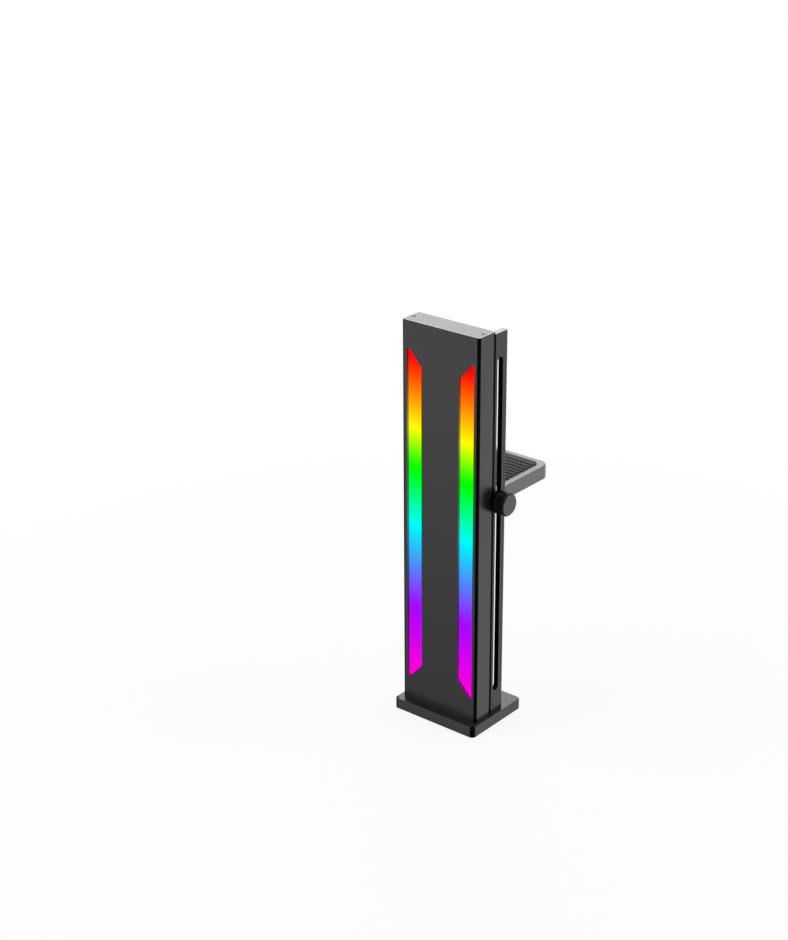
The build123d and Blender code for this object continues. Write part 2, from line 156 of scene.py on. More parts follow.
class Graph:
    """The node tree of one material or of the world."""

    noise_roughness: float = 0.55

    def __init__(self, tree: bpy.types.NodeTree) -> None:
        """Take an emptied node tree."""
        self.tree = tree
        self.tree.nodes.clear()

    def node(
        self,
        kind: str,
        settings: dict[str, Any] | None = None,
        inputs: dict[str | int, Any] | None = None,
        output: str | int = 0,
    ) -> Signal:
        """Add one node.

        Args:
            kind: The node's type name.
            settings: Properties that are set before its sockets are filled. A ramp's
                stops are given as "stops", each with a position and a colour.
            inputs: A value or a Signal for each socket that isn't left as it is.
            output: The output that is returned.

        Returns:
            The chosen output.
        """
        made = self.tree.nodes.new(kind)
        for name, value in (settings or {}).items():
            if name == "stops":
                self._fill_ramp(made.color_ramp, value)
            else:
                setattr(made, name, value)
        for name, value in (inputs or {}).items():
            socket = made.inputs[name]
            if isinstance(value, Signal):
                self.tree.links.new(value.socket, socket)
            else:
                socket.default_value = value
        return Signal(self, made.outputs[output] if made.outputs else None)

    @staticmethod
    def _fill_ramp(ramp: bpy.types.ColorRamp, stops: Sequence[tuple[float, Colour]]) -> None:
        """Give a colour ramp its stops.

        Args:
            ramp: The ramp, with the two stops that it starts with.
            stops: The position and the colour of each stop.
        """
        ramp.elements[0].position = stops[0][0]
        ramp.elements[1].position = stops[-1][0]
        for position, _ in stops[1:-1]:
            ramp.elements.new(position)
        for element, (_, colour) in zip(ramp.elements, stops):
            element.color = (*colour, 1.0)

    def math(self, operation: str, *values: Signal | float) -> Signal:
        """Add one Math node over one to three values."""
        inputs = dict(enumerate(values))
        return self.node("ShaderNodeMath", {"operation": operation}, inputs)

    def place(self) -> Signal:
        """Return the object coordinates."""
        return self.node("ShaderNodeTexCoord", output="Object")

    def axis(self, axis: Axis) -> Signal:
        """Return one object coordinate, in metres."""
        return self.node("ShaderNodeSeparateXYZ", inputs={0: self.place()}, output=axis.value)

    def stretched(self, stretch: Sequence[float]) -> Signal:
        """Return object coordinates multiplied by a number for each axis."""
        inputs = {"Vector": self.place(), "Scale": tuple(stretch)}
        return self.node("ShaderNodeMapping", inputs=inputs)

    def noise(self, size: float, detail: float = 2.0, stretch: Sequence[float] = (1, 1, 1)) -> Signal:
        """Return noise around 0.5.

        Args:
            size: The size of its largest features, in metres.
            detail: How many finer layers it has.
            stretch: How much finer it is along each axis.

        Returns:
            The noise, from about 0 to 1.
        """
        return self.node(
            "ShaderNodeTexNoise",
            inputs={
                "Vector": self.stretched(stretch),
                "Scale": 1.0 / size,
                "Detail": detail,
                "Roughness": self.noise_roughness,
            },
        )

    def mix(self, factor: Signal | float, first: Any, second: Any) -> Signal:
        """Return a colour between two colours.

        Args:
            factor: 0 for the first and 1 for the second.
            first: One colour, fixed or a Signal.
            second: The other, likewise.

        Returns:
            The mixed colour.
        """
        return self.node(
            "ShaderNodeMix",
            {"data_type": "RGBA"},
            {0: factor, 6: self.paint(first), 7: self.paint(second)},
            output=2,
        )

    @staticmethod
    def paint(colour: Any) -> Any:
        """Return a colour as a socket takes it."""
        return colour if isinstance(colour, Signal) else (*colour, 1.0)

    def bump(self, height: Signal, depth: float) -> Signal:
        """Return a normal that follows a height.

        Args:
            height: The height, from 0 to 1.
            depth: What a height of 1 is, in metres.

        Returns:
            The bumped normal.
        """
        inputs = {"Height": height, "Distance": depth, "Strength": 1.0}
        return self.node("ShaderNodeBump", inputs=inputs)

    def plain(self, colour: Any, roughness: float, specular: float, **more: Signal) -> Signal:
        """Return a plain surface.

        Args:
            colour: Its colour, fixed or a Signal.
            roughness: Its roughness.
            specular: How strong its reflection is, where 0.5 is usual.
            more: Signals for further sockets.

        Returns:
            The shader.
        """
        inputs = {
            "Base Color": self.paint(colour),
            "Roughness": roughness,
            "Specular IOR Level": specular,
        }
        return self.node("ShaderNodeBsdfPrincipled", inputs={**inputs, **more})

    def blend(self, factor: Signal, first: Signal, second: Signal) -> Signal:
        """Return a surface between two surfaces."""
        return self.node("ShaderNodeMixShader", inputs={0: factor, 1: first, 2: second})

    def surface(self, shader: Signal) -> None:
        """Send a shader to the material's output."""
        self.node("ShaderNodeOutputMaterial", inputs={"Surface": shader})


@dataclass(frozen=True)
class Finish:
    """One finish, from which a material is made once and then shared."""

    name: str
    colour: Colour
    roughness: float
    metallic: float = 0.0
    ior: float = 1.5
    grain: float = 0.25 * MM
    grain_depth: float = 0.006 * MM
    shade_change: float = 0.06
    shade_size: float = 9 * MM
    gloss_change: float = 0.05
    gloss_size: float = 6 * MM

    @functools.cache
    def material(self) -> bpy.types.Material:
        """Make this finish's material at its first use.

        Returns:
            The material, which all pieces of this finish share.
        """
        material = bpy.data.materials.new(self.name)
        material.use_nodes = True
        graph = Graph(material.node_tree)
        graph.surface(self.shader(graph))
        return material

    def tone(self, graph: Graph) -> Signal:
        """Return the base colour with its slow change of shade.

        Args:
            graph: The tree that it is made in.

        Returns:
            The colour.
        """
        shade = graph.noise(self.shade_size, 3.0)
        low = tuple(value * (1 - self.shade_change) for value in self.colour)
        high = tuple(value * (1 + self.shade_change) for value in self.colour)
        return graph.mix(shade, low, high)

    def gloss(self, graph: Graph) -> Signal:
        """Return the roughness with its slow change."""
        return self.roughness + (graph.noise(self.gloss_size) - 0.5) * self.gloss_change

    def relief(self, graph: Graph) -> Signal:
        """Return the normal of the fine grain."""
        return graph.bump(graph.noise(self.grain), self.grain_depth)

    def shader(self, graph: Graph) -> Signal:
        """Return the whole surface."""
        return self.principled(graph, {})

    def principled(self, graph: Graph, changes: dict[str, Any]) -> Signal:
        """Return a Principled surface.

        Args:
            graph: The tree that it is made in.
            changes: Sockets that differ from the finish's own.

        Returns:
            The shader.
        """
        inputs = {
            "Base Color": self.tone(graph),
            "Roughness": self.gloss(graph),
            "Metallic": self.metallic,
            "IOR": self.ior,
            "Normal": self.relief(graph),
        }
        inputs.update(changes)
        return graph.node("ShaderNodeBsdfPrincipled", inputs=inputs)


@dataclass(frozen=True)
class LitFinish(Finish):
    """Frosted plastic, lit from behind in colours that change with height."""

    bottom: float = 0.0
    top: float = 1.0
    stops: tuple[tuple[float, Colour], ...] = ()
    level: float = 1.0
    display_gamma: float = 2.2

    def shader(self, graph: Graph) -> Signal:
        """Return the lit surface.

        Args:
            graph: The tree that it is made in.

        Returns:
            The shader.
        """
        height = (graph.axis(Axis.Z) - self.bottom) / (self.top - self.bottom)
        shown = graph.node("ShaderNodeValToRGB", {"stops": self.stops}, {0: height})
        gamma = {"Color": shown, "Gamma": self.display_gamma}
        light = graph.node("ShaderNodeGamma", inputs=gamma)
        changes = {
            "Emission Color": light,
            "Emission Strength": self.level,
            "Specular IOR Level": 0.0,
        }
        return self.principled(graph, changes)


@dataclass(frozen=True)
class AnodisedFinish(Finish):
    """Bead-blasted black anodising, with painted shade and a painted reflection on top.

    The painted shade makes deep black an edge further out than edge_x on either side, and
    further forward than front_y or further back than rear_y, and a slot's walls, within
    slot_half of slot_y and between slot_inner_x and slot_outer_x. The face in front of
    face_y is mixed with a more matt surface than the rest as painted shade, and painted
    shade darkens it downwards. The walls of the windows, between face_y and wall_y and
    nearer the middle than wall_x, glow with painted light in the windows' colours.
    """

    edge_x: float = 0.0
    front_y: float = -1.0
    rear_y: float = 1.0
    edge_band: float = 0.06 * MM
    slot_y: float = 0.0
    slot_half: float = 0.0
    slot_inner_x: float = 0.0
    slot_outer_x: float = 0.0
    # Painted reflection: faces above this height are light grey.
    top_reflection_above: float = 1.0
    top_reflection_colour: Colour = (0.28, 0.28, 0.28)
    face_y: float = -1.0
    # Painted shade on the front face: a more matt surface mixed in, darker towards its foot.
    front_shade_share: float = 0.0
    front_shade_colour: Colour = (0.06, 0.06, 0.06)
    face_roughness: float = 0.6
    face_specular: float = 0.1
    fade_bottom: float = 0.0
    fade_top: float = 1.0
    fade_shade: float = 1.0
    # Painted shade: the deep black of the edges and the slot's walls.
    painted_shade_colour: Colour = (0.001, 0.001, 0.001)
    painted_shade_roughness: float = 0.35
    painted_shade_specular: float = 0.025
    # Painted light: the window walls glow in the windows' colours.
    painted_wall_light: LitFinish | None = None
    wall_x: float = 0.0
    wall_y: float = 0.0
    wall_skin: float = 0.03 * MM

    def tone(self, graph: Graph) -> Signal:
        """Return black, and a light grey painted reflection on the top faces."""
        return graph.mix(self.top_reflection(graph), super().tone(graph), self.top_reflection_colour)

    def wall(self, graph: Graph, lit: LitFinish) -> Signal:
        """Return where the walls of the windows are.

        Args:
            graph: The tree that it is made in.
            lit: The finish of the light, from whose bottom to whose top they reach.

        Returns:
            The mask, 1 on the walls.
        """
        depth = graph.axis(Axis.Y)
        height = graph.axis(Axis.Z)
        room = self.wall_x - abs(graph.axis(Axis.X))
        room = room.smaller(depth - self.face_y).smaller(self.wall_y - depth)
        room = room.smaller(height - lit.bottom).smaller(lit.top - height)
        return room.step(0.0, self.wall_skin)

    def matt(self, graph: Graph) -> Signal:
        """Return the matt surface that paints shade on the front face, darker towards its foot.

        Args:
            graph: The tree that it is made in.

        Returns:
            The shader.
        """
        height = graph.axis(Axis.Z).step(self.fade_bottom, self.fade_top)
        foot = tuple(value * self.fade_shade for value in self.front_shade_colour)
        colour = graph.mix(height, foot, self.front_shade_colour)
        relief = self.relief(graph)
        return graph.plain(colour, self.face_roughness, self.face_specular, Normal=relief)

    def top_reflection(self, graph: Graph) -> Signal:
        """Return the top faces, where a reflection is painted in light grey."""
        return graph.math("GREATER_THAN", graph.axis(Axis.Z), self.top_reflection_above)

    def edge(self, graph: Graph) -> Signal:
        """Return where the rounded upright edges and the slot's walls are.

        Args:
            graph: The tree that it is made in.

        Returns:
            The mask, 1 where shade is painted deep black.
        """
        past_side = abs(graph.axis(Axis.X)) - self.edge_x
        depth = graph.axis(Axis.Y)
        past_face = (self.front_y - depth).larger(depth - self.rear_y)
        rounded = past_side.smaller(past_face).step(0.0, self.edge_band)
        return rounded.larger(self.slot(graph)) * (1 - self.top_reflection(graph))

    def slot(self, graph: Graph) -> Signal:
        """Return where the walls of the slot are.

        Args:
            graph: The tree that it is made in.

        Returns:
            The mask, 1 on the walls.
        """
        across = graph.axis(Axis.X)
        inside = (across - self.slot_inner_x).smaller(self.slot_outer_x - across)
        near = self.slot_half - abs(graph.axis(Axis.Y) - self.slot_y)
        return inside.smaller(near).step(0.0, self.edge_band)

    def shader(self, graph: Graph) -> Signal:
        """Return the anodised surface with its painted shade and painted light.

        Args:
            graph: The tree that it is made in.

        Returns:
            The shader.
        """
        body = super().shader(graph)
        if not self.edge_x:
            return body
        # Painted shade on the front face.
        if self.front_shade_share:
            on_face = graph.math("LESS_THAN", graph.axis(Axis.Y), self.face_y)
            body = graph.blend(on_face * self.front_shade_share, body, self.matt(graph))
        # Painted light on the walls of the windows.
        if self.painted_wall_light is not None:
            on_wall = self.wall(graph, self.painted_wall_light)
            body = graph.blend(on_wall, body, self.painted_wall_light.shader(graph))
        # Painted shade, deep black on the edges and the slot's walls.
        deep = graph.plain(self.painted_shade_colour, self.painted_shade_roughness, self.painted_shade_specular)
        return graph.blend(self.edge(graph), body, deep)


@dataclass(frozen=True)
class TurnedFinish(Finish):
    """A turned knob along X: fine rings on its end face, and painted shade that makes its grip deep
    black.
    """

    centre_y: float = 0.0
    centre_z: float = 0.0
    face_x: float = 0.0
    ring_pitch: float = 0.16 * MM
    ring_depth: float = 0.004 * MM
    # Painted shade on the knob's grip.
    grip_shade_colour: Colour = (0.004, 0.004, 0.004)
    grip_roughness: float = 0.4
    grip_specular: float = 0.12

    def relief(self, graph: Graph) -> Signal:
        """Return the normal of the tool's rings.

        Args:
            graph: The tree that it is made in.

        Returns:
            The bumped normal.
        """
        across = graph.axis(Axis.Y) - self.centre_y
        up = graph.axis(Axis.Z) - self.centre_z
        radius = graph.math("SQRT", across * across + up * up)
        rings = graph.math("SINE", radius * (math.tau / self.ring_pitch))
        return graph.bump(rings * 0.5 + 0.5, self.ring_depth)

    def shader(self, graph: Graph) -> Signal:
        """Return the satin end face and the grip in painted deep black shade.

        Args:
            graph: The tree that it is made in.

        Returns:
            The shader.
        """
        satin = super().shader(graph)
        grip = graph.plain(self.grip_shade_colour, self.grip_roughness, self.grip_specular)
        on_grip = graph.math("LESS_THAN", graph.axis(Axis.X), self.face_x)
        return graph.blend(on_grip, satin, grip)


@dataclass(frozen=True)
class RecessedFinish(Finish):
    """The finish of a screw that faces up, with painted shade inside its recess."""

    face_z: float = 0.0
    shallow: float = 0.01 * MM
    deep: float = 0.1 * MM
    # Painted shade inside the recess.
    recess_shade_colour: Colour = (0.003, 0.003, 0.003)

    def tone(self, graph: Graph) -> Signal:
        """Return the metal's colour, and painted shade, nearly black, below its face."""
        sunk = (self.face_z - graph.axis(Axis.Z)).step(self.shallow, self.deep)
        return graph.mix(sunk, super().tone(graph), self.recess_shade_colour)


@dataclass(frozen=True)
class BrushedFinish(Finish):
    """Metal with fine lines along one axis."""

    along: Axis = Axis.X
    line_stretch: float = 0.04

    def relief(self, graph: Graph) -> Signal:
        """Return the normal of the lines.

        Args:
            graph: The tree that it is made in.

        Returns:
            The bumped normal.
        """
        stretch = [1.0, 1.0, 1.0]
        stretch[self.along.value] = self.line_stretch
        return graph.bump(graph.noise(self.grain, 3.0, stretch), self.grain_depth)


# Modelling


class Bench:
    """The hand tools that every piece is modelled with."""

    bevel_angle: float = math.radians(35)
    smooth_angle: float = math.radians(32)
    corner_segments: int = 8
    merge: float = 0.001 * MM
    nudge: float = 0.01 * MM

    @staticmethod
    def clear() -> None:
        """Leave edit mode and select nothing."""
        if bpy.context.object is not None and bpy.context.object.mode != "OBJECT":
            bpy.ops.object.mode_set(mode="OBJECT")
        bpy.ops.object.select_all(action="DESELECT")

    @staticmethod
    def activate(piece: bpy.types.Object) -> None:
        """Make one piece the only one that operators act on.

        Args:
            piece: The piece.
        """
        Bench.clear()
        piece.select_set(True)
        bpy.context.view_layer.objects.active = piece

    @staticmethod
    def named(name: str) -> bpy.types.Object:
        """Name the piece that was just added.

        Args:
            name: The name of the piece and its mesh.

        Returns:
            The piece.
        """
        piece = bpy.context.object
        piece.name = name
        piece.data.name = name
        return piece

    @staticmethod
    def block(name: str, place: Sequence[float], size: Sequence[float]) -> bpy.types.Object:
        """Add a block.

        Args:
            name: Its name.
            place: Its middle.
            size: Its size along each axis.

        Returns:
            The block, with its place and size in its mesh.
        """
        Bench.clear()
        bpy.ops.mesh.primitive_cube_add(size=1, location=place)
        block = Bench.named(name)
        block.scale = size
        bpy.ops.object.transform_apply(location=True, rotation=False, scale=True)
        return block

    @staticmethod
    def pick(
        piece: bpy.types.Object,
        mode: str,
        test: Callable[[Any], bool] = lambda _: True,
    ) -> None:
        """Enter edit mode with only some parts of the mesh selected.

        Args:
            piece: The piece that is edited.
            mode: VERT, EDGE or FACE.
            test: Says of a bmesh vertex, edge or face whether it is selected. Without
                it, all are.
        """
        if piece.mode != "EDIT":
            Bench.activate(piece)
            bpy.ops.object.mode_set(mode="EDIT")
        bpy.ops.mesh.select_mode(type=mode)
        bpy.ops.mesh.select_all(action="DESELECT")
        edited = bmesh.from_edit_mesh(piece.data)
        parts = {"VERT": edited.verts, "EDGE": edited.edges, "FACE": edited.faces}[mode]
        for part in parts:
            if test(part):
                part.select_set(True)
        edited.select_flush_mode()
        bmesh.update_edit_mesh(piece.data)

    @staticmethod
    def extrude(*step: float) -> None:
        """Extrude what is selected by a step along each axis."""
        bpy.ops.mesh.extrude_region_move(TRANSFORM_OT_translate={"value": step})

    @staticmethod
    def bisect(piece: bpy.types.Object, point: Vector, axis: Vector, **cuts: bool) -> None:
        """Cut the whole mesh by a plane."""
        Bench.pick(piece, "VERT")
        bpy.ops.mesh.bisect(plane_co=point, plane_no=axis, **cuts)

    @staticmethod
    def modify(piece: bpy.types.Object, kind: str, **settings: Any) -> None:
        """Add one modifier and apply it.

        Args:
            piece: The piece that is modified.
            kind: The modifier's type name.
            settings: Its properties.
        """
        Bench.activate(piece)
        modifier = piece.modifiers.new(kind.title(), kind)
        for name, value in settings.items():
            setattr(modifier, name, value)
        bpy.ops.object.modifier_apply(modifier=modifier.name)

    @staticmethod
    def combine(piece: bpy.types.Object, other: bpy.types.Object, operation: str) -> None:
        """Join a piece with another, cut it by it or trim it to it, and remove the other."""
        Bench.modify(piece, "BOOLEAN", operation=operation, object=other, solver="EXACT")
        bpy.data.objects.remove(other)

    @staticmethod
    def round_upright(piece: bpy.types.Object, corner: float) -> None:
        """Round a block's upright edges.

        Args:
            piece: The block.
            corner: The radius of its corners.
        """
        Bench.pick(piece, "EDGE", is_upright)
        bpy.ops.mesh.bevel(offset=corner, segments=Bench.corner_segments, affect="EDGES")
        bpy.ops.object.mode_set(mode="OBJECT")

    @staticmethod
    def soften(piece: bpy.types.Object, width: float, segments: int) -> None:
        """Round every sharp edge of a piece.

        Args:
            piece: The piece.
            width: How far each rounding reaches from the edge.
            segments: How many faces it has.
        """
        Bench.modify(
            piece,
            "BEVEL",
            width=width,
            segments=segments,
            limit_method="ANGLE",
            angle_limit=Bench.bevel_angle,
            harden_normals=False,
        )

    @staticmethod
    def settle(piece: bpy.types.Object) -> None:
        """Put a piece's place into its mesh, close its seams and smooth its shading.

        Args:
            piece: The piece.
        """
        Bench.activate(piece)
        bpy.ops.object.transform_apply(location=True, rotation=True, scale=True)
        Bench.pick(piece, "VERT")
        bpy.ops.mesh.remove_doubles(threshold=Bench.merge)
        bpy.ops.mesh.normals_make_consistent(inside=False)
        bpy.ops.object.mode_set(mode="OBJECT")
        bpy.ops.object.shade_smooth_by_angle(angle=Bench.smooth_angle)

    @staticmethod
    def copy(piece: bpy.types.Object, name: str, shift: Vector) -> bpy.types.Object:
        """Copy a finished piece, with its own mesh, to another place.

        Args:
            piece: The piece that is copied.
            name: The copy's name.
            shift: How far the copy is from it.

        Returns:
            The copy.
        """
        Bench.activate(piece)
        bpy.ops.object.duplicate(linked=False)
        twin = Bench.named(name)
        twin.data.transform(Matrix.Translation(shift))
        return twin

    @staticmethod
    def lay_along_x(piece: bpy.types.Object, node: str) -> None:
        """Turn a piece from +Z to +X, from the low end of a CAD node's box.

        Args:
            piece: The piece, modelled upwards from the origin.
            node: The CAD node in whose box it lies, on the box's middle line.
        """
        low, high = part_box(node)
        piece.data.transform(Matrix.Rotation(math.radians(90), 4, "Y"))
        place = (low.x, (low.y + high.y) / 2, (low.z + high.z) / 2)
        piece.data.transform(Matrix.Translation(place))

    @staticmethod
    def dress(piece: bpy.types.Object, finish: Finish) -> None:
        """Give a piece one finish all over."""
        piece.data.materials.clear()
        piece.data.materials.append(finish.material())

    @staticmethod
    def fit(piece: bpy.types.Object, finish: Finish, body: Body, node: str, slot: str) -> None:
        """Dress a finished piece and let it take the place of its CAD node.

        Args:
            piece: The piece.
            finish: Its finish.
            body: The body that it moves with.
            node: The CAD node that it replaces.
            slot: Not used.
        """
        Bench.dress(piece, finish)
        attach(piece, body.value)
        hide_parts(node)
        LOG.info("made %s", piece.name)


def dress_node(node: str, finish: Finish) -> None:
    """Give a carried-over CAD node its finish.

    Args:
        node: The CAD node's name.
        finish: The finish for all its material slots.
    """
    Bench.dress(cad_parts[node], finish)
    LOG.info("dressed %s in %s", node, finish.name)


def middle(node: str) -> Vector:
    """Return the middle of a CAD node's box."""
    low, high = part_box(node)
    return (low + high) / 2


def is_upright(edge: bmesh.types.BMEdge) -> bool:
    """Say whether an edge stands upright."""
    return abs(edge.verts[0].co.z - edge.verts[1].co.z) > 0.1 * MM


@dataclass
class CrossHeadScrew:
    """A small countersunk cross-head screw, modelled once and copied to each of its places."""

    node: str
    slot: str
    finish: Finish
    head_radius: float
    facing: Axis
    length: float
    shank_radius: float = 0.95 * MM
    recess_span: float = 1.9 * MM
    recess_width: float = 0.46 * MM
    recess_depth: float = 0.75 * MM
    recess_taper: float = 0.55
    edge: float = 0.05 * MM
    sides: int = 48

    def build(self, places: Sequence[Vector]) -> None:
        """Model the screw and put one at each place.

        Args:
            places: The middle of each head's flat face.
        """
        first = self._model(f"{self.node}_1")
        if self.facing is Axis.Y:
            first.data.transform(Matrix.Rotation(math.radians(-90), 4, "X"))
        first.data.transform(Matrix.Translation(places[0]))
        screws = [first]
        for number, place in enumerate(places[1:], start=2):
            screws.append(Bench.copy(first, f"{self.node}_{number}", place - places[0]))
        for screw in screws:
            Bench.fit(screw, self.finish, Body.COLUMN, self.node, self.slot)

    def _model(self, name: str) -> bpy.types.Object:
        """Model one screw that faces +Z, with its head's flat face at the origin.

        Args:
            name: Its name.

        Returns:
            The screw.
        """
        Bench.clear()
        bpy.ops.mesh.primitive_circle_add(
            vertices=self.sides, radius=self.head_radius, fill_type="NGON"
        )
        screw = Bench.named(name)
        cone = self.head_radius - self.shank_radius
        Bench.pick(screw, "FACE")
        Bench.extrude(0, 0, -cone)
        narrow = self.shank_radius / self.head_radius
        bpy.ops.transform.resize(value=(narrow, narrow, 1))
        Bench.extrude(0, 0, cone - self.length)
        Bench.settle(screw)
        Bench.combine(screw, self._recess(), "DIFFERENCE")
        Bench.soften(screw, self.edge, 1)
        Bench.settle(screw)
        return screw

    def _recess(self) -> bpy.types.Object:
        """Model the tapered cross that is cut out of the head.

        Returns:
            The cross.
        """
        wings = []
        size = (self.recess_span, self.recess_width, 2 * self.recess_depth)
        for turn in (0, 90):
            wing = Bench.block(f"{self.node}_wing_{turn}", (0, 0, 0), size)
            Bench.pick(wing, "FACE", lambda face: face.normal.z < -0.5)
            bpy.ops.transform.resize(value=(self.recess_taper, self.recess_taper, 1))
            bpy.ops.object.mode_set(mode="OBJECT")
            wing.data.transform(Matrix.Rotation(math.radians(turn), 4, "Z"))
            wings.append(wing)
        Bench.combine(wings[0], wings[1], "UNION")
        return wings[0]


@dataclass
class KnurledKnob:
    """The thumb screw's round head, with a fine straight knurl between plain rims."""

    node: str = "thumb_knob"
    ridges: int = 112
    knurl_depth: float = 0.09 * MM
    rim: float = 1.2 * MM
    inner_rim: float = 0.6 * MM
    run_out: float = 0.15 * MM
    edge: float = 0.8 * MM
    inner_edge: float = 0.25 * MM
    dish_radius_share: float = 0.82
    dish_depth: float = 0.06 * MM

    def build(self, finish: Finish) -> None:
        """Model the knob in the place of its CAD node.

        Args:
            finish: Its finish.
        """
        low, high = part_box(self.node)
        radius = (high.y - low.y) / 2
        length = high.x - low.x
        Bench.clear()
        bpy.ops.mesh.primitive_circle_add(
            vertices=2 * self.ridges, radius=radius - self.inner_edge, fill_type="NGON"
        )
        knob = Bench.named("knurled_knob")
        Bench.pick(knob, "FACE")
        stations = [
            (self.inner_edge, radius / (radius - self.inner_edge)),
            (self.inner_rim - self.inner_edge, 1.0),
            (self.run_out, 1.0),
            (length - self.inner_rim - self.rim - 2 * self.run_out, 1.0),
            (self.run_out, 1.0),
            (self.rim - self.edge, 1.0),
            (self.edge, (radius - self.edge) / radius),
        ]
        for rise, scale in stations:
            Bench.extrude(0, 0, rise)
            bpy.ops.transform.resize(value=(scale, scale, 1))
        bpy.ops.mesh.inset(thickness=radius * (1 - self.dish_radius_share))
        bpy.ops.mesh.inset(thickness=self.dish_depth)
        bpy.ops.transform.translate(value=(0, 0, -self.dish_depth))
        self._knurl(knob, radius, length)
        bpy.ops.object.mode_set(mode="OBJECT")
        Bench.lay_along_x(knob, self.node)
        Bench.settle(knob)
        Bench.fit(knob, finish, Body.THUMB_SCREW, self.node, "knob_anodised")

    def _knurl(self, knob: bpy.types.Object, radius: float, length: float) -> None:
        """Pull every second line of the grip inwards.

        Args:
            knob: The knob, still along Z.
            radius: Its radius.
            length: Its length.
        """
        start = self.inner_rim + self.run_out - Bench.nudge
        end = length - self.rim - self.run_out + Bench.nudge
        half_step = math.pi / self.ridges

        def in_groove(vertex: bmesh.types.BMVert) -> bool:
            """Say whether a vertex lies on the grip and on a groove's line."""
            turn = math.atan2(vertex.co.y, vertex.co.x) / half_step
            return start < vertex.co.z < end and round(turn) % 2 == 1

        Bench.pick(knob, "VERT", in_groove)
        shrink = 1 - self.knurl_depth / radius
        bpy.ops.transform.resize(value=(shrink, shrink, 1), center_override=(0, 0, 0))


@dataclass
class ThreadedStud:
    """The steel stud of the thumb screw, with its thread cut all the way."""

    node: str = "thumb_stud"
    pitch: float = 0.7 * MM
    thread_depth: float = 0.38 * MM
    crest_share: float = 0.2
    steps: int = 40
    tip_cone: float = 0.5 * MM
    merge: float = 0.002 * MM

    def build(self, finish: Finish) -> None:
        """Model the stud in the place of its CAD node.

        Args:
            finish: Its finish.
        """
        low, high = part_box(self.node)
        radius = (high.y - low.y) / 2
        length = high.x - low.x
        turns = math.ceil(length / self.pitch) + 3
        Bench.clear()
        bpy.ops.mesh.primitive_plane_add(size=1)
        stud = Bench.named("threaded_stud")
        Bench.pick(stud, "VERT", lambda vertex: vertex.index > 0)
        bpy.ops.mesh.delete(type="VERT")
        Bench.pick(stud, "VERT")
        start = bmesh.from_edit_mesh(stud.data).verts[:][0]
        start.co = (0, radius - self.thread_depth, -1.5 * self.pitch)
        bmesh.update_edit_mesh(stud.data)
        flank = (1 - self.crest_share) / 2 * self.pitch
        flat = self.crest_share / 2 * self.pitch
        for along, out in (
            (flat, 0),
            (flank, self.thread_depth),
            (flat, 0),
            (flank, -self.thread_depth),
        ):
            Bench.extrude(0, out, along)
        bpy.ops.object.mode_set(mode="OBJECT")
        Bench.modify(
            stud,
            "SCREW",
            axis="Z",
            angle=math.tau,
            screw_offset=2 * flat + 2 * flank,
            iterations=turns,
            steps=self.steps,
            render_steps=self.steps,
            use_merge_vertices=True,
            merge_threshold=self.merge,
        )
        Bench.pick(stud, "VERT")
        bpy.ops.mesh.remove_doubles(threshold=self.merge)
        Bench.bisect(stud, Vector((0, 0, 0)), Axis.Z.vector, clear_inner=True, use_fill=True)
        Bench.bisect(stud, Vector((0, 0, length)), Axis.Z.vector, clear_outer=True, use_fill=True)
        self._point(stud, radius)
        bpy.ops.object.mode_set(mode="OBJECT")
        Bench.lay_along_x(stud, self.node)
        Bench.settle(stud)
        Bench.fit(stud, finish, Body.THUMB_SCREW, self.node, "stud_steel")

    def _point(self, stud: bpy.types.Object, radius: float) -> None:
        """Draw the first turns in to a short cone.

        Args:
            stud: The stud, still along Z.
            radius: The radius of its thread.
        """
        Bench.pick(stud, "VERT", lambda _: False)
        edited = bmesh.from_edit_mesh(stud.data)
        for vertex in edited.verts:
            if vertex.co.z < self.tip_cone:
                limit = radius - self.tip_cone + vertex.co.z
                out = math.hypot(vertex.co.x, vertex.co.y)
                if out > limit:
                    vertex.co.x *= limit / out
                    vertex.co.y *= limit / out
        bmesh.update_edit_mesh(stud.data)


@dataclass
class RibbedPad:
    """The soft rubber pad on the arm, with its rows of rounded ribs."""

    node: str = "arm_pad"
    rib_pitch: float = 3.0 * MM
    groove_width: float = 0.9 * MM
    groove_depth: float = 0.5 * MM
    corner: float = 2.5 * MM
    rounding: float = 0.18 * MM

    def build(self, finish: Finish) -> None:
        """Model the pad in the place of its CAD node.

        Args:
            finish: Its finish.
        """
        low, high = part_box(self.node)
        pad = Bench.block("ribbed_pad", middle(self.node), high - low)
        Bench.round_upright(pad, self.corner)
        Bench.combine(pad, self._comb(low, high), "DIFFERENCE")
        Bench.settle(pad)
        Bench.soften(pad, self.rounding, 2)
        Bench.settle(pad)
        Bench.fit(pad, finish, Body.ARM, self.node, "pad_rubber")

    def _comb(self, low: Vector, high: Vector) -> bpy.types.Object:
        """Model the row of bars that the grooves are cut with.

        Args:
            low: The pad's lowest corner.
            high: Its highest corner.

        Returns:
            The comb.
        """
        centre = (low + high) / 2
        count = int((high.y - low.y - 2 * self.corner) / self.rib_pitch)
        first = centre.y - (count - 1) / 2 * self.rib_pitch
        size = (1.2 * (high.x - low.x), self.groove_width, 2 * self.groove_depth)
        comb = Bench.block("pad_comb", (centre.x, first, high.z), size)
        Bench.modify(
            comb,
            "ARRAY",
            count=count,
            use_relative_offset=False,
            use_constant_offset=True,
            constant_offset_displace=(0, self.rib_pitch, 0),
        )
        return comb


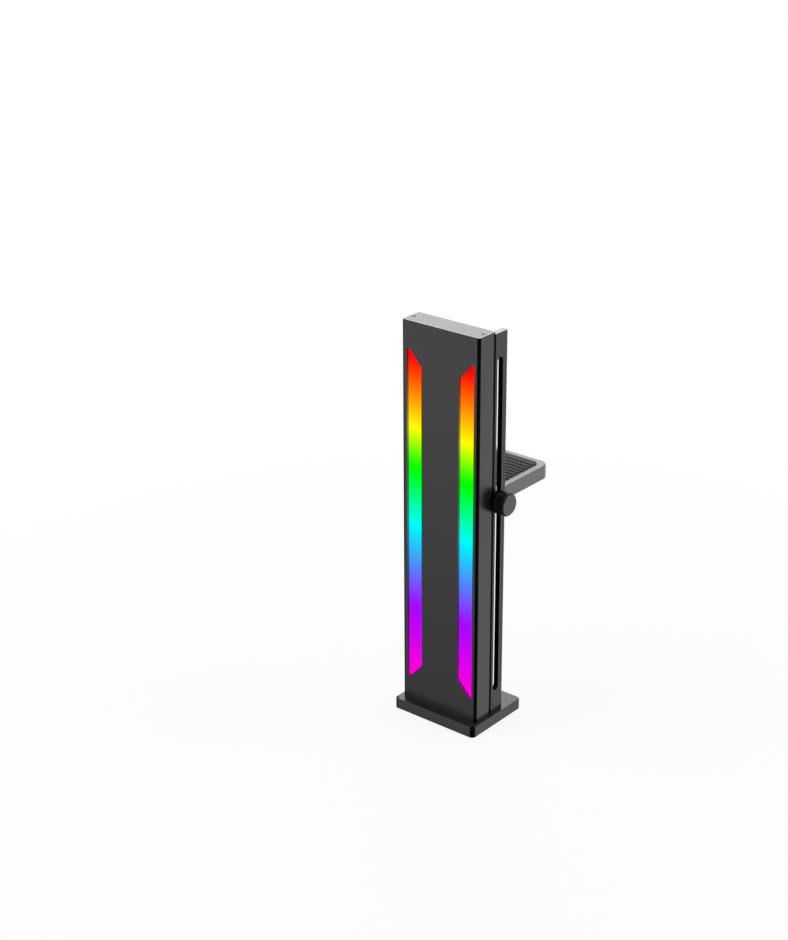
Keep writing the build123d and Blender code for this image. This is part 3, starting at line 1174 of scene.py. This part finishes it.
@dataclass
class StuddedSheet:
    """The rubber sheet under the base, moulded with a grid of low studs."""

    node: str = "base_pad"
    stud_pitch: float = 1.9 * MM
    channel: float = 0.55 * MM
    stud_height: float = 0.25 * MM
    draft: float = 0.08 * MM
    corner: float = 2.2 * MM
    trim: float = 0.02 * MM

    def build(self, finish: Finish) -> None:
        """Model the sheet in the place of its CAD node.

        Args:
            finish: Its finish.
        """
        low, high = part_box(self.node)
        size = high - low
        centre = middle(self.node)
        Bench.clear()
        bpy.ops.mesh.primitive_grid_add(
            x_subdivisions=round(size.x / self.stud_pitch),
            y_subdivisions=round(size.y / self.stud_pitch),
            size=1,
            location=(centre.x, centre.y, low.z + self.stud_height),
        )
        sheet = Bench.named("studded_sheet")
        sheet.scale = (size.x, size.y, 1)
        bpy.ops.object.transform_apply(location=True, rotation=False, scale=True)
        Bench.pick(sheet, "FACE")
        bpy.ops.mesh.flip_normals()
        bpy.ops.mesh.inset(thickness=self.channel / 2, use_individual=True)
        bpy.ops.mesh.inset(thickness=self.draft, use_individual=True)
        bpy.ops.transform.translate(value=(0, 0, -self.stud_height))
        Bench.pick(sheet, "EDGE", lambda edge: edge.is_boundary)
        rise = size.z - self.stud_height
        bpy.ops.mesh.extrude_edges_move(TRANSFORM_OT_translate={"value": (0, 0, rise)})
        bpy.ops.mesh.edge_face_add()
        bpy.ops.object.mode_set(mode="OBJECT")
        Bench.settle(sheet)
        Bench.combine(sheet, self._outline(size), "INTERSECT")
        Bench.settle(sheet)
        Bench.fit(sheet, finish, Body.COLUMN, self.node, "base_rubber")

    def _outline(self, size: Vector) -> bpy.types.Object:
        """Model the rounded block that the sheet's corners are trimmed to.

        Args:
            size: The sheet's size along each axis.

        Returns:
            The block.
        """
        kept = (size.x - self.trim, size.y - self.trim, size.z * 4)
        block = Bench.block("sheet_outline", middle(self.node), kept)
        Bench.round_upright(block, self.corner)
        return block


@dataclass
class MouldedGrommet:
    """The rubber inlet for the lead: a rounded collar with a neck through the web."""

    node: str = "lead_grommet"
    neck_radius: float = 2.0 * MM
    bore_radius: float = 1.3 * MM
    collar: float = 0.9 * MM
    rounding: float = 0.35 * MM
    steps: int = 48

    def build(self, finish: Finish) -> None:
        """Model the grommet in the place of its CAD node.

        Args:
            finish: Its finish.
        """
        low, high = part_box(self.node)
        centre = middle(self.node)
        outer = (high.x - low.x) / 2
        Bench.clear()
        wall = self.neck_radius - self.bore_radius
        bpy.ops.mesh.primitive_plane_add(
            size=1, location=(centre.x + self.bore_radius + wall / 2, centre.y, centre.z)
        )
        grommet = Bench.named("moulded_grommet")
        grommet.scale = (wall, high.y - low.y, 1)
        bpy.ops.object.transform_apply(location=True, rotation=False, scale=True)
        under = high.y - self.collar
        Bench.bisect(grommet, Vector((0, under, 0)), Axis.Y.vector)
        edge_of_neck = centre.x + self.neck_radius - Bench.nudge
        edge_of_collar = under - Bench.nudge

        def on_collar(edge: bmesh.types.BMEdge) -> bool:
            """Say whether an edge is the collar's part of the neck's outside."""
            ends = [end.co for end in edge.verts]
            return all(end.x > edge_of_neck and end.y > edge_of_collar for end in ends)

        Bench.pick(grommet, "EDGE", on_collar)
        bpy.ops.mesh.extrude_edges_move(
            TRANSFORM_OT_translate={"value": (outer - self.neck_radius, 0, 0)}
        )
        Bench.pick(grommet, "FACE")
        bpy.ops.mesh.dissolve_faces()
        rim = centre.x + outer - Bench.nudge
        Bench.pick(grommet, "VERT", lambda vertex: vertex.co.x > rim)
        bpy.ops.mesh.bevel(offset=self.rounding, segments=4, affect="VERTICES")
        Bench.pick(grommet, "FACE")
        bpy.ops.mesh.delete(type="ONLY_FACE")
        Bench.pick(grommet, "VERT")
        bpy.ops.mesh.spin(steps=self.steps, angle=math.tau, center=centre, axis=Axis.Y.vector)
        bpy.ops.object.mode_set(mode="OBJECT")
        Bench.settle(grommet)
        Bench.fit(grommet, finish, Body.COLUMN, self.node, "grommet_rubber")


# Sub-assemblies


@dataclass
class Base:
    """The foot with its rubber sheet and magnets."""

    corner: float = 2.2 * MM
    edge: float = 0.5 * MM
    edge_band: float = 0.5 * MM
    sheet: StuddedSheet = field(default_factory=StuddedSheet)

    def build(self) -> None:
        """Dress the plate and model the sheet under it."""
        low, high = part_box("base_plate")
        # Painted shade: the front upright edges are deep black and the front face is mixed with a
        # more matt surface.
        anodised = AnodisedFinish(
            "base_anodised",
            (0.018, 0.018, 0.0185),
            0.3,
            ior=1.5,
            edge_x=high.x - self.corner,
            front_y=low.y + self.corner,
            edge_band=self.edge_band,
            face_y=low.y + self.edge,
            front_shade_share=0.75,
            front_shade_colour=(0.045, 0.045, 0.0455),
        )
        dress_node("base_plate", anodised)
        dress_node("base_magnets", Finish("nickel", (0.62, 0.61, 0.58), 0.18, metallic=1.0))
        dress_node("base_screws", Finish("black_oxide", (0.04, 0.04, 0.04), 0.35, metallic=0.6))
        self.sheet.build(Finish("base_rubber", (0.012, 0.012, 0.012), 0.75, grain=0.4 * MM))


@dataclass
class Column:
    """The lamp housing, its windows and lamps, and the rail behind it.

    The light is given as its colours, each with the height where it stands.
    """

    # The corner, seam and slot sizes place painted deep black shade; the window walls' strength sets
    # their painted light.
    corner: float = 1.2 * MM
    corner_depth: float = 1.4 * MM
    face_depth: float = 0.05 * MM
    window_margin: float = 2.2 * MM
    wall_painted_light: float = 0.3
    seam_reach: float = 1.2 * MM
    seam_shade: float = 0.35 * MM
    seam_gap: float = 0.15 * MM
    slot_half: float = 2.7 * MM
    flange: float = 3.0 * MM
    skin: float = 0.03 * MM
    cap_head_radius: float = 1.4 * MM
    cap_screw_length: float = 7.0 * MM
    rail_head_radius: float = 1.8 * MM
    rail_screw_length: float = 4.6 * MM
    light: tuple[tuple[float, Colour], ...] = (
        (22 * MM, (0.98, 0.0, 0.86)),
        (57 * MM, (0.64, 0.07, 1.0)),
        (101 * MM, (0.0, 1.0, 0.98)),
        (130 * MM, (0.0, 1.0, 0.04)),
        (151 * MM, (1.0, 1.0, 0.0)),
        (188 * MM, (1.0, 0.02, 0.0)),
    )

    def build(self) -> None:
        """Dress the column's nodes and model its small pieces."""
        self._housing()
        self._rail()
        self._lamps()
        self._cap()

    def _housing(self) -> None:
        """Dress the housing."""
        low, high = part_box("lamp_housing")
        # Painted shade on the rounded edges, rear seam and darkening matt front; painted light on the
        # window walls; a painted reflection on top.
        finish = AnodisedFinish(
            "housing_anodised",
            (0.005, 0.005, 0.0052),
            0.27,
            ior=1.6,
            edge_x=high.x - self.corner,
            front_y=low.y + self.corner_depth,
            rear_y=high.y - self.seam_reach,
            top_reflection_above=high.z - self.skin,
            face_y=low.y + self.face_depth,
            front_shade_share=0.75,
            front_shade_colour=(0.062, 0.062, 0.0625),
            fade_bottom=low.z,
            fade_top=high.z,
            fade_shade=0.5,
            painted_wall_light=self._lit("window_wall_painted_light", self.wall_painted_light),
            wall_x=high.x - self.window_margin,
            wall_y=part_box("left_diffuser")[0].y,
        )
        dress_node("lamp_housing", finish)

    def _rail(self) -> None:
        """Dress the rail and model its screws and the lead's inlet."""
        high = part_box("slotted_rail")[1]
        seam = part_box("lamp_housing")[1].y + self.seam_gap + self.seam_shade
        slot_y = middle("thumb_stud").y
        # Painted shade at the seam edge and on the slot's walls; a painted reflection on the top
        # faces.
        finish = AnodisedFinish(
            "rail_anodised",
            (0.005, 0.005, 0.0052),
            0.3,
            ior=1.52,
            edge_x=high.x - self.corner,
            front_y=seam,
            slot_y=slot_y,
            slot_half=self.slot_half,
            slot_inner_x=high.x - self.flange,
            slot_outer_x=high.x,
            top_reflection_above=high.z - self.skin,
        )
        dress_node("slotted_rail", finish)
        low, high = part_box("rail_screws")
        inset = self.rail_head_radius
        places = [
            Vector((x, high.y, z))
            for x in (low.x + inset, high.x - inset)
            for z in (low.z + inset, high.z - inset)
        ]
        black_steel = Finish("black_steel", (0.05, 0.05, 0.052), 0.32, metallic=0.8)
        CrossHeadScrew(
            "rail_screws",
            "screw_steel",
            black_steel,
            self.rail_head_radius,
            Axis.Y,
            self.rail_screw_length,
            recess_span=2.2 * MM,
        ).build(places)
        MouldedGrommet().build(Finish("grommet_rubber", (0.012, 0.012, 0.012), 0.6))

    def _lamps(self) -> None:
        """Dress the diffusers and what lights them."""
        lit = self._lit("lit_diffuser", 1.0)
        dress_node("left_diffuser", lit)
        dress_node("right_diffuser", lit)
        dress_node("light_carrier", Finish("carrier_plastic", (0.8, 0.8, 0.79), 0.5))
        for side in ("left", "right"):
            dress_node(f"{side}_led_board", Finish("board_mask", (0.8, 0.8, 0.77), 0.4))
            dress_node(f"{side}_leds", Finish("led_body", (0.85, 0.8, 0.55), 0.25))

    def _lit(self, name: str, level: float) -> LitFinish:
        """Return the finish of the light, at full strength for the diffusers, or weaker as painted
        light on the window walls.

        Args:
            name: Its name.
            level: Its strength, where 1 is full.

        Returns:
            The finish.
        """
        low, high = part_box("left_diffuser")
        span = high.z - low.z
        stops = tuple(((height - low.z) / span, colour) for height, colour in self.light)
        black = (0.0, 0.0, 0.0)
        return LitFinish(name, black, 0.6, bottom=low.z, top=high.z, stops=stops, level=level)

    def _cap(self) -> None:
        """Dress the cap and model its screws."""
        satin = BrushedFinish("cap_satin", (0.275, 0.275, 0.275), 0.45, grain=0.3 * MM)
        dress_node("top_cap", satin)
        low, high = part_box("cap_screws")
        inset = self.cap_head_radius
        places = [
            Vector((x, (low.y + high.y) / 2, high.z)) for x in (low.x + inset, high.x - inset)
        ]
        steel = RecessedFinish("cap_screw_steel", (0.27, 0.27, 0.27), 0.45, face_z=high.z)
        CrossHeadScrew(
            "cap_screws",
            "cap_screw_steel",
            steel,
            self.cap_head_radius,
            Axis.Z,
            self.cap_screw_length,
            recess_span=2.35 * MM,
            recess_width=0.66 * MM,
        ).build(places)


@dataclass
class SlidingArm:
    """The arm with its pad."""

    pad: RibbedPad = field(default_factory=RibbedPad)

    def build(self) -> None:
        """Dress the arm and model its pad."""
        anodised = AnodisedFinish("arm_anodised", (0.107, 0.107, 0.108), 0.3, ior=1.62)
        dress_node("support_arm", anodised)
        self.pad.build(Finish("pad_rubber", (0.018, 0.018, 0.018), 0.7, grain=0.3 * MM))


@dataclass
class ThumbScrew:
    """The clamping screw with its washer."""

    knob: KnurledKnob = field(default_factory=KnurledKnob)
    stud: ThreadedStud = field(default_factory=ThreadedStud)
    satin_depth: float = 0.22 * MM

    def build(self) -> None:
        """Model the knob and the stud, and dress the washer."""
        centre = middle("thumb_knob")
        # Painted shade makes the grip deep black behind the satin end face.
        turned = TurnedFinish(
            "knob_anodised",
            (0.04, 0.04, 0.041),
            0.3,
            ior=1.55,
            face_x=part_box("thumb_knob")[1].x - self.satin_depth,
            centre_y=centre.y,
            centre_z=centre.z,
        )
        self.knob.build(turned)
        self.stud.build(Finish("stud_steel", (0.55, 0.55, 0.53), 0.25, metallic=1.0))
        dress_node("clamp_washer", Finish("washer_nylon", (0.02, 0.02, 0.02), 0.45))


# Studio


@dataclass(frozen=True)
class SoftLamp:
    """One large round lamp."""

    name: str
    place: tuple[float, float, float]
    watts: float
    size: float = 0.9


@dataclass
class Studio:
    """The pale floor, the soft light and the camera."""

    floor_size: float = 8.0
    floor_colour: Colour = (0.9, 0.9, 0.9)
    floor_glow: float = 0.86
    sky: float = 0.6
    shadow_reach: float = 0.2
    lamps: tuple[SoftLamp, ...] = (
        SoftLamp("key_lamp", (-0.5, -0.5, 1.2), 5.0),
        SoftLamp("fill_lamp", (0.9, 0.6, 1.1), 4.0),
        SoftLamp("back_lamp", (-0.9, 1.08, 0.62), 3.8),
    )
    lamp_target: tuple[float, float, float] = (0.0, 0.0, 0.1)
    camera_place: tuple[float, float, float] = (0.5307, -0.68565, 0.5038)
    yaw: float = math.radians(39.787)
    pitch: float = math.radians(23.37)
    roll: float = math.radians(0.408)
    lens: float = 76.13
    sensor_width: float = 36.0
    nearest: float = 0.01

    def build(self) -> None:
        """Set up all that isn't part of the bracket."""
        self._floor()
        self._world()
        self._lamps()
        self._camera()
        scene = bpy.context.scene
        scene.view_settings.view_transform = "Standard"
        LOG.info("made the studio")

    def _floor(self) -> None:
        """Lay the floor, which shows white but keeps the shadow."""
        Bench.clear()
        bpy.ops.mesh.primitive_plane_add(size=self.floor_size)
        floor = Bench.named("studio_floor")
        material = bpy.data.materials.new("studio_floor")
        material.use_nodes = True
        graph = Graph(material.node_tree)
        colour = graph.paint(self.floor_colour)
        matt = graph.node("ShaderNodeBsdfDiffuse", inputs={"Color": colour})
        white = graph.node("ShaderNodeEmission", inputs={"Strength": 1.0})
        across = graph.axis(Axis.X)
        along = graph.axis(Axis.Y)
        distance = graph.math("SQRT", across * across + along * along)
        far = distance.step(self.shadow_reach, 2 * self.shadow_reach)
        share = (self.floor_glow + far * (1 - self.floor_glow)) * self._seen(graph)
        graph.surface(graph.blend(share, matt, white))
        floor.data.materials.append(material)

    @staticmethod
    def _seen(graph: Graph) -> Signal:
        """Tell the rays that show the background, straight or in gloss.

        Args:
            graph: The tree that it is made in.

        Returns:
            The mask, 1 for such rays.
        """
        camera = graph.node("ShaderNodeLightPath", output="Is Camera Ray")
        glossy = graph.node("ShaderNodeLightPath", output="Is Glossy Ray")
        through = graph.node("ShaderNodeLightPath", output="Is Transmission Ray")
        return camera.larger(glossy).larger(through)

    def _world(self) -> None:
        """Light evenly from all round, with white behind."""
        world = bpy.data.worlds.new("studio_world")
        bpy.context.scene.world = world
        world.use_nodes = True
        graph = Graph(world.node_tree)
        strength = self.sky + self._seen(graph) * (1 - self.sky)
        background = graph.node(
            "ShaderNodeBackground", inputs={"Color": (1, 1, 1, 1), "Strength": strength}
        )
        graph.node("ShaderNodeOutputWorld", inputs={"Surface": background})

    def _lamps(self) -> None:
        """Hang the lamps, each aimed at the bracket."""
        for lamp in self.lamps:
            Bench.clear()
            bpy.ops.object.light_add(type="AREA", location=lamp.place)
            hung = bpy.context.object
            hung.name = lamp.name
            hung.data.shape = "DISK"
            hung.data.size = lamp.size
            hung.data.energy = lamp.watts
            aim = Vector(self.lamp_target) - Vector(lamp.place)
            hung.rotation_euler = aim.to_track_quat("-Z", "Y").to_euler()

    def _camera(self) -> None:
        """Put the camera where the photograph was taken from."""
        view = Vector(
            (
                -math.sin(self.yaw) * math.cos(self.pitch),
                math.cos(self.yaw) * math.cos(self.pitch),
                -math.sin(self.pitch),
            )
        )
        level = Vector((math.cos(self.yaw), math.sin(self.yaw), 0))
        down = view.cross(level)
        right = math.cos(self.roll) * level + math.sin(self.roll) * down
        up = math.sin(self.roll) * level - math.cos(self.roll) * down
        data = bpy.data.cameras.new("photo_camera")
        data.lens = self.lens
        data.sensor_width = self.sensor_width
        data.clip_start = self.nearest
        camera = bpy.data.objects.new("photo_camera", data)
        turn = Matrix((right, up, -view)).transposed().to_4x4()
        camera.matrix_world = Matrix.Translation(self.camera_place) @ turn
        bpy.context.scene.collection.objects.link(camera)
        bpy.context.scene.camera = camera


def main() -> None:
    """Build the bracket and its studio."""
    logging.basicConfig(level=logging.INFO, format="%(name)s: %(message)s")
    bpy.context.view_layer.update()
    for assembly in (Base(), Column(), SlidingArm(), ThumbScrew(), Studio()):
        assembly.build()
        LOG.info("finished %s", type(assembly).__name__)


if __name__ == "__main__":
    main()
